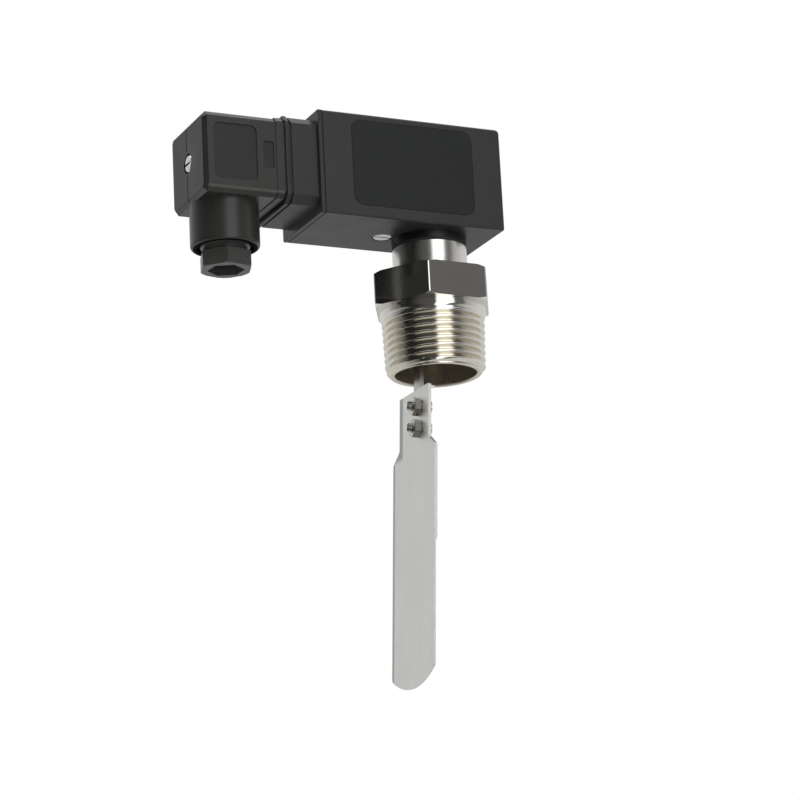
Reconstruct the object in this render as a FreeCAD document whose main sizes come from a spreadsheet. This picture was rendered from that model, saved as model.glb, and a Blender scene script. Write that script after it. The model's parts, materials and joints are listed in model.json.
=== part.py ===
import FreeCAD, Part
import math
import os

# Paddle flow switch, millimetres, +Z up.
# Origin: on the process thread's axis, at the gauge plane of its R1 taper thread.
# +X is the flow direction and the long axis of the housing, the cable plug sits at -X.

doc = FreeCAD.newDocument("PaddleFlowSwitch")
sheet = doc.addObject("Spreadsheet::Sheet", "Dims")
ROWS = [0]
NODES = []


class D:
    """A length that knows its value and its spreadsheet expression."""

    def __init__(self, v, e=None):
        self.v = float(v)
        self.e = e if e is not None else repr(round(float(v), 6))

    def __add__(self, o):
        o = num(o)
        return D(self.v + o.v, "(" + self.e + " + " + o.e + ")")

    def __sub__(self, o):
        o = num(o)
        return D(self.v - o.v, "(" + self.e + " - " + o.e + ")")

    def __radd__(self, o):
        return num(o) + self

    def __rsub__(self, o):
        return num(o) - self

    def __mul__(self, k):
        return D(self.v * k, "(" + self.e + " * " + repr(float(k)) + ")")

    __rmul__ = __mul__

    def __truediv__(self, k):
        return D(self.v / k, "(" + self.e + " / " + repr(float(k)) + ")")

    def __neg__(self):
        return D(-self.v, "(0 - " + self.e + ")")


def num(x):
    return x if isinstance(x, D) else D(x)


def dim(alias, value):
    ROWS[0] += 1
    row = ROWS[0]
    sheet.set("A%d" % row, alias)
    sheet.set("B%d" % row, str(value))
    sheet.setAlias("B%d" % row, alias)
    return D(value, "Dims." + alias)


# ---- driving dimensions -------------------------------------------------
# process connection
gauge_r = dim("gauge_r", 16.62)
pitch = dim("pitch", 2.309)
depth = dim("thread_depth", 1.40)
z_end = dim("z_end", -10.4)
z_collar = dim("z_collar", 8.35)
collar_r = dim("collar_r", 17.35)
z_hexa = dim("z_hexa", 11.35)
z_hexb = dim("z_hexb", 22.75)
hex_af = dim("hex_af", 36.2)
neck_r = dim("neck_r", 12.2)
neck_top = dim("neck_top", 41.0)
neck2_r = dim("neck_upper_r", 11.4)
z_step = dim("neck_step_z", 32.2)
bore_r = dim("bore_r", 13.25)
bore_mid = dim("bore_mid_r", 9.2)
bore_top = dim("bore_top_r", 9.9)
z_pivot = dim("z_pivot", 33.6)
pin_r = dim("pin_r", 1.0)
# housing
hx0 = dim("house_xa", -43.35)
hx1 = dim("house_xb", 20.1)
hy = dim("house_half_y", 16.2)
hz0 = dim("house_za", 35.85)
hz1 = dim("house_zb", 70.75)
wall = dim("wall", 2.2)
wall_y = dim("wall_side", 1.8)
boss_r = dim("boss_r", 12.35)
boss_z = dim("boss_z", 33.0)
floor_t = dim("floor_t", 2.6)
adj_x = dim("adj_x", -15.75)
adj_y = dim("adj_y", 2.1)
adj_r = dim("adj_head_r", 3.25)
lab_xa = dim("label_xa", -33.3)
lab_xb = dim("label_xb", 9.25)
lab_za = dim("label_za", 39.75)
lab_zb = dim("label_zb", 68.4)
lab_t = dim("label_t", 0.25)
# end cap and connector socket
cap_x = dim("cap_x", -44.95)
seal_t = dim("seal_t", 0.35)
stub_x = dim("stub_x", -53.8)
con_z = dim("con_z", 53.5)
con_y = dim("con_half_y", 14.7)
con_h = dim("con_half_z", 14.6)
con_c = dim("con_chamfer", 2.6)
pl_y = dim("plug_half_y", 14.75)
pl_h = dim("plug_half_z", 13.65)
pl_c = dim("plug_chamfer", 1.7)
gask_x = dim("gasket_x", -56.8)
plug_x = dim("plug_x", -83.7)
flange_t = dim("plug_flange_t", 2.3)
gl_x = dim("gland_x", -71.9)
gl_r = dim("gland_r", 11.15)
gl_z = dim("gland_z", 26.1)
nut_z = dim("nut_z", 18.95)
nut_af = dim("nut_af", 15.4)
cable_r = dim("cable_r", 5.2)
# paddle
tilt = 3.4  # degrees from the vertical at rest
lev_t = dim("lever_t", 1.4)
lev_w = dim("lever_w", 4.6)
bl_t = dim("blade_t", 0.5)
bl_w = dim("blade_w", 31.4)
bl_neck = dim("blade_neck_w", 21.9)
bl_face = dim("blade_face_x", -5.25)
bl_top = dim("blade_top_z", -50.35)
bl_n = dim("blade_neck_z", -67.9)
bl_s = dim("blade_shoulder_z", -71.6)
bl_long = dim("blade_long_z", -142.6)
bl_short = dim("blade_short_z", -101.9)
bl_sag = dim("blade_sag", 4.9)
scr_a = dim("screw_za", -56.5)
scr_b = dim("screw_zb", -63.7)
scr_y = dim("screw_y", -3.3)
doc.recompute()


# ---- helpers ------------------------------------------------------------
def body(name):
    b = doc.addObject("PartDesign::Body", name)
    b.Label = name
    b.AllowCompound = True
    NODES.append(b)
    return b


def plane(b, role):
    for o in b.Origin.OriginFeatures:
        if o.Role == role + "_Plane":
            return o


def sketch(b, role, off=0):
    off = num(off)
    s = b.newObject("Sketcher::SketchObject", "Sketch")
    s.AttachmentSupport = [(plane(b, role), "")]
    s.MapMode = "FlatFace"
    s.AttachmentOffset = FreeCAD.Placement(
        FreeCAD.Vector(0, 0, off.v), FreeCAD.Rotation()
    )
    if "Dims" in off.e:
        s.setExpression("AttachmentOffset.Base.z", off.e)
    return s


def fix(s, geo, pos, x, y):
    for kind, c in (("DistanceX", num(x)), ("DistanceY", num(y))):
        i = s.addConstraint(Sketcher.Constraint(kind, -1, 1, geo, pos, c.v))
        if "Dims" in c.e:
            s.setExpression("Constraints[%d]" % i, c.e)


import Sketcher


def poly(s, pts):
    pts = [(num(a), num(b)) for a, b in pts]
    n = len(pts)
    base = s.GeometryCount
    for i in range(n):
        a, b = pts[i], pts[(i + 1) % n]
        s.addGeometry(
            Part.LineSegment(
                FreeCAD.Vector(a[0].v, a[1].v, 0), FreeCAD.Vector(b[0].v, b[1].v, 0)
            ),
            False,
        )
    for i in range(n):
        s.addConstraint(
            Sketcher.Constraint("Coincident", base + i, 2, base + (i + 1) % n, 1)
        )
        fix(s, base + i, 1, pts[i][0], pts[i][1])
    return s


def rect(s, x0, x1, y0, y1):
    return poly(s, [(x0, y0), (x1, y0), (x1, y1), (x0, y1)])


def circ(s, x, y, r):
    x, y, r = num(x), num(y), num(r)
    g = s.addGeometry(
        Part.Circle(
            FreeCAD.Vector(x.v, y.v, 0), FreeCAD.Vector(0, 0, 1), max(r.v, 0.01)
        ),
        False,
    )
    fix(s, g, 3, x, y)
    i = s.addConstraint(Sketcher.Constraint("Radius", g, r.v))
    if "Dims" in r.e:
        s.setExpression("Constraints[%d]" % i, r.e)
    return s


def length(f, L):
    L = num(L)
    f.Length = L.v
    if "Dims" in L.e:
        f.setExpression("Length", L.e)


def pad(b, s, L, sym=False, rev=False):
    f = b.newObject("PartDesign::Pad", "Pad")
    f.Profile = s
    length(f, L)
    f.SideType = "Symmetric" if sym else "One side"
    f.Reversed = rev
    doc.recompute()
    return f


def pocket(b, s, L, sym=False, rev=False):
    v0 = b.Shape.Volume
    f = b.newObject("PartDesign::Pocket", "Pocket")
    f.Profile = s
    length(f, L)
    f.SideType = "Symmetric" if sym else "One side"
    f.Reversed = rev
    doc.recompute()
    if not b.Shape.Volume < v0 - 1e-4:
        raise RuntimeError("a pocket in " + b.Label + " cuts nothing")
    return f


def revolve(b, s, axis="V_Axis"):
    f = b.newObject("PartDesign::Revolution", "Revolution")
    f.Profile = s
    f.ReferenceAxis = (s, [axis])
    f.Angle = 360.0
    doc.recompute()
    return f


def groove(b, s, axis="V_Axis"):
    v0 = b.Shape.Volume
    f = b.newObject("PartDesign::Groove", "Groove")
    f.Profile = s
    f.ReferenceAxis = (s, [axis])
    f.Angle = 360.0
    doc.recompute()
    if not b.Shape.Volume < v0 - 1e-4:
        raise RuntimeError("a groove in " + b.Label + " cuts nothing")
    return f


def edges(b, test):
    out = []
    for i, e in enumerate(b.Tip.Shape.Edges):
        p = e.valueAt((e.FirstParameter + e.LastParameter) / 2.0)
        t = e.tangentAt((e.FirstParameter + e.LastParameter) / 2.0)
        if test(p, t, e):
            out.append("Edge%d" % (i + 1))
    return out


def fillet(b, test, r, kind="Fillet"):
    names = edges(b, test)
    if not names:
        raise RuntimeError("no edge to round in " + b.Label)
    base = b.Tip
    f = b.newObject("PartDesign::" + kind, kind)
    f.Base = (base, names)
    r = num(r)
    key = "Radius" if kind == "Fillet" else "Size"
    setattr(f, key, r.v)
    if "Dims" in r.e:
        f.setExpression(key, r.e)
    doc.recompute()
    if f.Shape.isNull() or not f.Shape.isValid():
        raise RuntimeError("rounding failed in " + b.Label)
    return f


def at(b, x=0, y=0, z=0, rot=None):
    x, y, z = num(x), num(y), num(z)
    r = rot if rot is not None else FreeCAD.Rotation()
    b.Placement = FreeCAD.Placement(FreeCAD.Vector(x.v, y.v, z.v), r)
    for k, c in (("x", x), ("y", y), ("z", z)):
        if "Dims" in c.e:
            b.setExpression("Placement.Base." + k, c.e)


def near(a, c, tol=0.02):
    return abs(a - c.v if isinstance(c, D) else a - c) < tol


def hexagon(af, rot=0.0):
    """Corner points of a hexagon from its width across flats."""
    af = num(af)
    pts = []
    for k in range(6):
        t = math.radians(60 * k + rot)
        pts.append((af * (math.cos(t) / math.sqrt(3)), af * (math.sin(t) / math.sqrt(3))))
    return pts


def box(b, x0, x1, y0, y1, z0, z1):
    return pad(b, rect(sketch(b, "XY", z0), x0, x1, y0, y1), num(z1) - num(z0))


def cut(b, x0, x1, y0, y1, z0, z1):
    return pocket(b, rect(sketch(b, "XY", z1), x0, x1, y0, y1), num(z1) - num(z0))


def chamfered(hy_, hz_, c, cy, cz):
    """Rectangular section with chamfered corners, in a YZ sketch."""
    a, h, c, cy, cz = num(hy_), num(hz_), num(c), num(cy), num(cz)
    j, k = a - c, h - c
    return [
        (cy + a, cz + k), (cy + j, cz + h), (cy - j, cz + h), (cy - a, cz + k),
        (cy - a, cz - k), (cy - j, cz - h), (cy + j, cz - h), (cy + a, cz - k),
    ]


TILT = FreeCAD.Rotation(FreeCAD.Vector(0, 1, 0), tilt)

# ---- process nipple: R1 thread, collar, hexagon and neck in one piece ------
b = body("process_nipple")
teeth = []
for k in range(8):
    zc = z_end + 1.45 + pitch * k
    rc = gauge_r + (zc / 32.0) - (0.25 if k == 0 else 0.0)
    root = rc - depth + (0.25 if k == 0 else 0.0)
    if k == 0:
        teeth.append((root, z_end + 0.45))
    teeth.append((rc, zc - 0.2))
    teeth.append((rc, zc + 0.2))
    if k < 7:
        teeth.append((root, zc + pitch / 2.0 - 0.18))
        teeth.append((root, zc + pitch / 2.0 + 0.18))
prof = [(bore_r + 0.35, z_end), (gauge_r - 1.75, z_end)] + teeth
prof += [
    (gauge_r - 0.55, z_collar - 0.6),
    (collar_r - 0.3, z_collar + 0.5),
    (collar_r, z_collar + 0.8),
    (collar_r, z_hexa + 0.5),
    (collar_r, z_hexb - 0.5),
    (neck_r, z_hexb - 0.5),
    (neck_r, z_step),
    (neck2_r, z_step),
    (neck2_r, z_pivot + 1.3),
    (neck2_r - 0.55, z_pivot + 1.3),
    (neck2_r - 0.55, z_pivot + 2.5),
    (neck2_r, z_pivot + 2.5),
    (neck2_r, hz0 + 2.8),
    (neck2_r - 0.7, hz0 + 2.8),
    (neck2_r - 0.7, hz0 + 3.9),
    (neck2_r, hz0 + 3.9),
    (neck2_r, neck_top - 0.4),
    (neck2_r - 0.4, neck_top),
    (bore_top, neck_top),
    (bore_top, z_pivot - 4.6),
    (bore_mid, z_pivot - 4.6),
    (bore_mid, z_hexa + 3.2),
    (bore_r, z_hexa - 0.4),
    (bore_r, z_end + 0.35),
]
revolve(b, poly(sketch(b, "XZ"), prof))
s = sketch(b, "XY", z_hexa)
poly(s, hexagon(hex_af, 2.0))
circ(s, 0, 0, collar_r - 1.0)
pad(b, s, z_hexb - z_hexa)
# turned chamfers on the hexagon's two ends
hr = hex_af / 2.0
s = sketch(b, "XZ")
poly(s, [(hr + 1.6, z_hexb + 0.02), (hr + 4.0, z_hexb + 0.02), (hr + 4.0, z_hexb - 1.37)])
groove(b, s)
s = sketch(b, "XZ")
poly(s, [(hr + 1.6, z_hexa - 0.02), (hr + 4.0, z_hexa - 0.02), (hr + 4.0, z_hexa + 1.37)])
groove(b, s)
# cross hole for the pivot pin
pocket(b, circ(sketch(b, "XZ"), 0, z_pivot, pin_r + 0.02), 30, sym=True)

# ---- sealing and retaining rings on the neck ------------------------------
b = body("neck_oring")
revolve(b, circ(sketch(b, "XZ"), neck2_r - 0.2, z_pivot + 1.9, 0.33))

b = body("retaining_ring")
s = sketch(b, "XY", hz0 + 2.85)
circ(s, 0, 0, neck2_r + 0.95)
circ(s, 0, 0, neck2_r - 0.65)
pad(b, s, 0.95)
cut(b, 8.0, 15.0, -2.2, 2.2, hz0 + 2.6, hz0 + 4.0)

b = body("boss_seal")
s = sketch(b, "XY", boss_z - 0.75)
circ(s, 0, 0, boss_r - 0.2)
circ(s, 0, 0, neck2_r + 0.05)
pad(b, s, 0.7)

# ---- pivot: pin, spacer tubes, bellows fixing -----------------------------
b = body("pivot_pin")
pad(b, circ(sketch(b, "XZ"), 0, 0, pin_r), (neck2_r - 0.12) * 2.0, sym=True)
at(b, 0, 0, z_pivot)

b = body("pivot_spacers")
for sgn in (1, -1):
    s = sketch(b, "XZ", 3.1 if sgn > 0 else -3.1)
    circ(s, 0, 0, 2.1)
    circ(s, 0, 0, pin_r + 0.03)
    pad(b, s, 6.5, rev=sgn < 0)
at(b, 0, 0, z_pivot)

b = body("bellows_flange")
s = sketch(b, "XY", z_pivot - 4.58)
circ(s, 0, 0, bore_top - 0.1)
circ(s, 0, 0, 6.5)
pad(b, s, 1.0)

b = body("bellows_clamp_ring")
s = sketch(b, "XY", z_pivot - 3.56)
circ(s, 0, 0, bore_top - 0.06)
circ(s, 0, 0, 8.2)
pad(b, s, 1.15)
for a in (0, 1):
    x0, x1 = (-12.0, -7.0) if a else (7.0, 12.0)
    cut(b, x0, x1, -0.8, 0.8, z_pivot - 3.0, z_pivot - 2.2)

# ---- rocker: hub on the pin and the arm that works the switch --------------
b = body("rocker")
s = sketch(b, "XZ")
circ(s, 0, 0, 2.5)
pad(b, s, 6.0, sym=True)
box(b, -0.9, 0.7, -2.3, 2.3, 1.9, 14.6)
box(b, -13.2, 0.7, -2.3, 2.3, 13.4, 14.6)
box(b, -20.2, -12.0, -1.6, 5.2, 13.4, 14.6)
pocket(b, circ(sketch(b, "XZ"), 0, 0, pin_r + 0.05), 8, sym=True)
fillet(b, lambda p, t, e: abs(t.z) > 0.99 and p.x < -19.0, 2.0)
at(b, 0, 0, z_pivot)

# ---- lever: flat strip with a set-off, in the tilted paddle frame ----------
lx = bl_face + bl_t * 2.0
b = body("lever")
s = sketch(b, "XZ")
poly(
    s,
    [
        (-0.7, -1.6), (0.7, -1.6), (0.7, -20.6), (lx + lev_t, -26.6),
        (lx + lev_t, bl_neck * 0 + scr_b - 4.6), (lx, scr_b - 4.6), (lx, -26.2), (-0.7, -20.2),
    ],
)
pad(b, s, lev_w, sym=True)
box(b, lx, lx + lev_t, scr_y - 4.2, 4.5, scr_b - 4.6, bl_top - 0.9)
fillet(b, lambda p, t, e: abs(t.x) > 0.99 and abs(p.z - (scr_b.v - 4.6)) < 0.1 and abs(p.y) > 4.0, 2.6)
fillet(b, lambda p, t, e: abs(t.x) > 0.99 and abs(p.z - (bl_top.v - 0.9)) < 0.1 and abs(p.y) > 4.0, 1.2)
s = sketch(b, "YZ", lx - 1)
circ(s, scr_y, scr_a, 1.6)
circ(s, scr_y, scr_b, 1.6)
pocket(b, s, lev_t + 2, rev=True)
at(b, 0, 0, z_pivot, TILT)

# ---- bellows that seals the lever in the nipple ---------------------------
b = body("bellows")
t = 0.28
ro, ri = 7.0, 5.5
out = [(ri + t, -3.5), (ri + t, -5.5)]
inn = [(ri, -3.5), (ri, -5.5 - t)]
z = -5.5
for k in range(5):
    out += [(ro, z - 0.25), (ro, z - 1.15), (ri + t, z - 1.4), (ri + t, z - 2.35)]
    inn += [(ro - t, z - 0.25 - t), (ro - t, z - 1.15 + t), (ri, z - 1.4 + t), (ri, z - 2.35 - t)]
    z -= 2.35
out = out[:-1] + [(ri + t, z - 0.6)]
inn = inn[:-1] + [(ri, z - 0.6)]
revolve(b, poly(sketch(b, "XZ"), out + inn[::-1]))
at(b, 0, 0, z_pivot, TILT)
Z_BEL = z - 0.6

b = body("bellows_cap")
s = sketch(b, "XY", Z_BEL - 0.95)
circ(s, 0, 0, 6.1)
rect(s, -0.74, 0.74, -2.34, 2.34)
pad(b, s, 0.94)
at(b, 0, 0, z_pivot, TILT)


# ---- paddle: two stacked blades of different length ------------------------
def blade(name, x0, z_low):
    b = body(name)
    s = sketch(b, "YZ", x0)
    w, n = bl_w / 2.0, bl_neck / 2.0
    pts = [(-n, bl_top), (-n, bl_n), (-w, bl_s), (-w, z_low), (w, z_low), (w, bl_s), (n, bl_n), (n, bl_top)]
    pts = [(num(a), num(c)) for a, c in pts]
    m = len(pts)
    for i in range(m):
        a, c = pts[i], pts[(i + 1) % m]
        if i == 3:
            s.addGeometry(
                Part.Arc(
                    FreeCAD.Vector(a[0].v, a[1].v, 0),
                    FreeCAD.Vector(0, a[1].v - bl_sag.v, 0),
                    FreeCAD.Vector(c[0].v, c[1].v, 0),
                ),
                False,
            )
        else:
            s.addGeometry(
                Part.LineSegment(FreeCAD.Vector(a[0].v, a[1].v, 0), FreeCAD.Vector(c[0].v, c[1].v, 0)), False
            )
    for i in range(m):
        s.addConstraint(Sketcher.Constraint("Coincident", i, 2, (i + 1) % m, 1))
        fix(s, i, 1, pts[i][0], pts[i][1])
    # radius of the rounded end from its half width and rise
    r = (w.v * w.v + bl_sag.v * bl_sag.v) / (2 * bl_sag.v)
    i = s.addConstraint(Sketcher.Constraint("Radius", 3, r))
    s.setExpression(
        "Constraints[%d]" % i,
        "(Dims.blade_w / 2 * Dims.blade_w / 2 + Dims.blade_sag * Dims.blade_sag) / (2 * Dims.blade_sag)",
    )
    circ(s, scr_y, scr_a, 1.6)
    circ(s, scr_y, scr_b, 1.6)
    pad(b, s, bl_t)
    fillet(b, lambda p, t, e: abs(t.x) > 0.99 and near(p.z, bl_top), 0.4)
    fillet(b, lambda p, t, e: abs(t.x) > 0.99 and (near(p.z, bl_n) or near(p.z, bl_s)), 0.8)
    fillet(b, lambda p, t, e: abs(t.x) > 0.99 and near(p.z, z_low), 1.6)
    at(b, 0, 0, z_pivot, TILT)


blade("paddle_long", bl_face, bl_long)
blade("paddle_short", bl_face + bl_t, bl_short)

# M3 pan-head screws from the back of the lever, nuts on the face towards the plug
b = body("paddle_screws")
s = sketch(b, "YZ", lx + lev_t)
circ(s, scr_y, scr_a, 2.7)
circ(s, scr_y, scr_b, 2.7)
pad(b, s, 1.7)
s = sketch(b, "YZ", bl_face - 4.4)
circ(s, scr_y, scr_a, 1.5)
circ(s, scr_y, scr_b, 1.5)
pad(b, s, lx + lev_t - bl_face + 4.6)
fillet(b, lambda p, t, e: near(p.x, lx + lev_t + 1.7) and e.Length > 10, 0.7)
fillet(b, lambda p, t, e: near(p.x, bl_face - 4.4), 0.3, "Chamfer")
s = sketch(b, "YZ", lx + lev_t + 0.9)
rect(s, scr_y - 3, scr_y + 3, scr_a - 0.35, scr_a + 0.35)
rect(s, scr_y - 3, scr_y + 3, scr_b - 0.35, scr_b + 0.35)
pocket(b, s, 2, rev=True)
at(b, 0, 0, z_pivot, TILT)

b = body("paddle_nuts")
s = sketch(b, "YZ", bl_face - 2.4)
for zz in (scr_a, scr_b):
    poly(s, [(num(a) + scr_y, num(c) + zz) for a, c in hexagon(5.5, 30.0)])
    circ(s, scr_y, zz, 1.52)
pad(b, s, 2.4)
at(b, 0, 0, z_pivot, TILT)

# ---- housing: box moulding open towards the plug ---------------------------
b = body("housing_body")
box(b, hx0, hx1, -hy, hy, hz0, hz1)
fillet(b, lambda p, t, e: near(p.x, hx1) and near(p.z, hz1), 1.5)
fillet(b, lambda p, t, e: near(p.x, hx1) and abs(t.z) > 0.99, 1.0)
fillet(
    b,
    lambda p, t, e: (near(abs(p.y), hy) and abs(t.x) > 0.9 and (near(p.z, hz0) or near(p.z, hz1)))
    or (near(p.x, hx1) and near(p.z, hz0) and abs(t.y) > 0.9),
    0.7,
)
# inside
pocket(
    b,
    rect(sketch(b, "YZ", hx0), -hy + wall_y, hy - wall_y, hz0 + floor_t, hz1 - wall),
    hx1 - hx0 - wall,
    rev=True,
)
# boss round the neck, stepped outside
s = sketch(b, "XY", boss_z + 1.3)
circ(s, 0, 0, boss_r)
pad(b, s, hz0 - boss_z - 1.3 + 0.5)
s = sketch(b, "XY", boss_z)
circ(s, 0, 0, boss_r - 0.12)
pad(b, s, 1.5)
pocket(b, circ(sketch(b, "XY", hz0 + 4), 0, 0, neck2_r + 0.15), 12)
# recess and hole for the adjusting screw, screw pillars for the switch bracket
pocket(b, circ(sketch(b, "XY", hz0 + 1.2), adj_x, adj_y, adj_r + 0.15), 1.2)
pocket(b, circ(sketch(b, "XY", hz0 + 5), adj_x, adj_y, 2.2), 6)
s = sketch(b, "XY", hz0 + floor_t - 0.5)
for sx in (-12.5, 12.5):
    circ(s, sx, 10.4, 2.0)

pad(b, s, 3.0)
s = sketch(b, "XY", hz0 + 6)
for sx in (-12.5, 12.5):
    circ(s, sx, 10.4, 0.92)
pocket(b, s, 4.5)
# label recess in the front face
s = sketch(b, "XZ", hy)
rect(s, lab_xa - 0.15, lab_xb + 0.15, lab_za - 0.15, lab_zb + 0.15)
pocket(b, s, 0.2)
fillet(b, lambda p, t, e: abs(t.y) > 0.99 and near(p.y, -hy.v + 0.1, 0.05) and e.Length < 0.3, 3.4)

b = body("label_plate")
s = sketch(b, "XZ", hy - 0.2)
rect(s, lab_xa, lab_xb, lab_za, lab_zb)
pad(b, s, lab_t)
fillet(b, lambda p, t, e: abs(t.y) > 0.99, 3.25)

# ---- end cap with the connector socket --------------------------------------
b = body("end_cap_seal")
s = sketch(b, "YZ", hx0 - seal_t)
rect(s, -hy + 0.35, hy - 0.35, hz0 + 0.35, hz1 - 0.35)
rect(s, -hy + 2.6, hy - 2.6, hz0 + floor_t + 0.4, hz1 - 2.6)
pad(b, s, seal_t - 0.01)

b = body("end_cap")
s = sketch(b, "YZ", cap_x)
rect(s, -hy, hy, hz0, hz1)
pad(b, s, hx0 - seal_t - cap_x - 0.01)
fillet(b, lambda p, t, e: abs(t.x) > 0.99, 0.7)
fillet(b, lambda p, t, e: near(p.x, cap_x), 0.3)
s = sketch(b, "YZ", stub_x)
poly(s, chamfered(con_y, con_h, con_c, 0, con_z))
pad(b, s, cap_x - stub_x + 0.4)
s = sketch(b, "YZ", stub_x)
rect(s, -11.3, 11.3, con_z - 11.3, con_z + 11.3)
pocket(b, s, 20, rev=True)
s = sketch(b, "YZ", hx0 - seal_t - 0.4)
rect(s, -hy + wall + 0.6, hy - wall - 0.6, hz0 + floor_t + 0.6, hz1 - wall - 0.6)
rect(s, -hy + wall + 1.9, hy - wall - 1.9, hz0 + floor_t + 1.6, hz1 - wall - 2.0)
pad(b, s, 5.0)
fillet(b, lambda p, t, e: abs(t.x) > 0.99 and p.x < cap_x.v - 0.5 and max(abs(p.y), abs(p.z - con_z.v)) > 12.0, 0.5)

b = body("socket_insert")
s = sketch(b, "YZ", stub_x)
rect(s, -11.25, 11.25, con_z - 11.25, con_z + 11.25)
pad(b, s, 7.0)
fillet(b, lambda p, t, e: abs(t.x) > 0.99, 0.6)
s = sketch(b, "YZ", stub_x - 1)
rect(s, -3.05, 3.05, con_z + 6.45, con_z + 7.55)
rect(s, -3.05, 3.05, con_z - 7.55, con_z - 6.45)
rect(s, -7.55, -6.45, con_z - 3.05, con_z + 3.05)
rect(s, 6.45, 7.55, con_z - 3.05, con_z + 3.05)
circ(s, 0, con_z, 2.45)
pocket(b, s, 12, rev=True)

b = body("contact_blades")
s = sketch(b, "YZ", stub_x - 8.6)
rect(s, -3.0, 3.0, con_z + 6.6, con_z + 7.4)
rect(s, -3.0, 3.0, con_z - 7.4, con_z - 6.6)
rect(s, -7.4, -6.6, con_z - 3.0, con_z + 3.0)
rect(s, 6.6, 7.4, con_z - 3.0, con_z + 3.0)
pad(b, s, 18.4)

b = body("socket_nut")
s = sketch(b, "YZ", stub_x + 0.4)
circ(s, 0, con_z, 2.4)
circ(s, 0, con_z, 1.55)
pad(b, s, 6.0)

# ---- adjusting screw, its travelling spring seat and the range spring --------
b = body("adjusting_screw")
s = sketch(b, "XZ")
poly(
    s,
    [
        (0, 0.08), (adj_r - 0.3, 0.08), (adj_r, 0.35), (adj_r, 1.1), (2.0, 1.1), (2.0, 7.0), (1.7, 7.3), (0, 7.3),
    ],
)
revolve(b, s)
s = sketch(b, "XY", 0.55)
rect(s, -4, 4, -0.4, 0.4)
pocket(b, s, 2)
at(b, adj_x, adj_y, hz0)

b = body("spring_seat")
s = sketch(b, "XY", 2.8)
circ(s, 0, 0, 2.9)
circ(s, 0, 0, 2.05)
pad(b, s, 1.55)
at(b, adj_x, adj_y, hz0)

coil_r, wire_r, z_bot, z_top = 2.55, 0.25, 4.4, 11.05
pit = (z_top - z_bot - 2 * wire_r) / 4.0
helix = Part.makeHelix(pit, pit * 4.0, coil_r)
prof_c = Part.Wire(
    [Part.Edge(Part.Circle(FreeCAD.Vector(coil_r, 0, 0), FreeCAD.Vector(0, 1, pit / (2 * math.pi * coil_r)), wire_r))]
)
spring = Part.Wire(helix.Edges).makePipeShell([prof_c], True, True)
f = doc.addObject("Part::Feature", "range_spring")
f.Label = "range_spring"
f.Shape = spring
f.Placement = FreeCAD.Placement(
    FreeCAD.Vector(adj_x.v, adj_y.v, hz0.v + z_bot + wire_r), FreeCAD.Rotation()
)
NODES.append(f)

# ---- microswitch on its bracket ----------------------------------------------
sw_x0, sw_x1, sw_z0, sw_z1, sw_y = -13.0, 6.8, 49.0, 59.2, 3.2
b = body("switch_bracket")
box(b, -15.2, 15.2, 8.0, 12.6, 41.35, 42.55)
box(b, -10.6, 13.0, sw_y + 0.05, 12.0, 41.35, 42.55)
box(b, -10.6, 13.0, sw_y + 0.05, sw_y + 1.25, 41.35, 61.0)
box(b, -10.6, -9.0, -2.0, sw_y + 1.25, 48.3, 48.9)
s = sketch(b, "XY", 43)
for sx in (-12.5, 12.5):
    circ(s, sx, 10.4, 1.1)
pocket(b, s, 2)
s = sketch(b, "XZ", 0)
for sx in (-9.0, 3.0):
    circ(s, sx, 56.8, 1.1)
pocket(b, s, 6)

b = body("bracket_screws")
s = sketch(b, "XY", 42.58)
for sx in (-12.5, 12.5):
    circ(s, sx, 10.4, 1.8)
pad(b, s, 1.3)
s = sketch(b, "XY", 38.9)
for sx in (-12.5, 12.5):
    circ(s, sx, 10.4, 0.88)
pad(b, s, 4.0)

b = body("microswitch_body")
box(b, sw_x0, sw_x1, -sw_y, 0.9, sw_z0, sw_z1)
s = sketch(b, "XZ", 0)
for sx in (-9.0, 3.0):
    circ(s, sx, 56.8, 1.15)
pocket(b, s, 12, sym=True)
s = sketch(b, "XY", 56.0)
rect(s, -7.45, -5.55, -0.95, 2.0)
pocket(b, s, 10)
fillet(b, lambda p, t, e: abs(t.y) > 0.99 and abs(p.x + 3.1) > 9.5, 0.8)

b = body("microswitch_cover")
box(b, sw_x0, sw_x1, 0.92, sw_y, sw_z0, sw_z1)
s = sketch(b, "XZ", 0)
for sx in (-9.0, 3.0):
    circ(s, sx, 56.8, 1.15)
pocket(b, s, 6)
fillet(b, lambda p, t, e: abs(t.y) > 0.99 and abs(p.x + 3.1) > 9.5, 0.8)

b = body("switch_plunger")
s = sketch(b, "XY", 48.25)
rect(s, -7.2, -5.8, -0.8, 0.8)
pad(b, s, 4.6)
fillet(b, lambda p, t, e: near(p.z, 48.25) and abs(t.y) > 0.99, 0.5)

b = body("switch_terminals")
s = sketch(b, "XY", sw_z1 + 0.02)
for sx in (-10.5, -3.1, 4.3):
    rect(s, sx - 1.2, sx + 1.2, -1.4, -0.9)
pad(b, s, 4.2)

b = body("switch_screws")
s = sketch(b, "XZ", sw_y + 0.02)
for sx in (-9.0, 3.0):
    circ(s, sx, 56.8, 1.8)
pad(b, s, 1.2)
s = sketch(b, "XZ", -(sw_y + 3.4))
for sx in (-9.0, 3.0):
    circ(s, sx, 56.8, 0.98)
pad(b, s, 2 * sw_y + 3.5)

b = body("switch_nuts")
s = sketch(b, "XZ", -(sw_y + 2.9))
for sx in (-9.0, 3.0):
    poly(s, [(num(a) + sx, num(c) + 56.8) for a, c in hexagon(4.0, 0)])
    circ(s, sx, 56.8, 1.0)
pad(b, s, 1.6)


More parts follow.
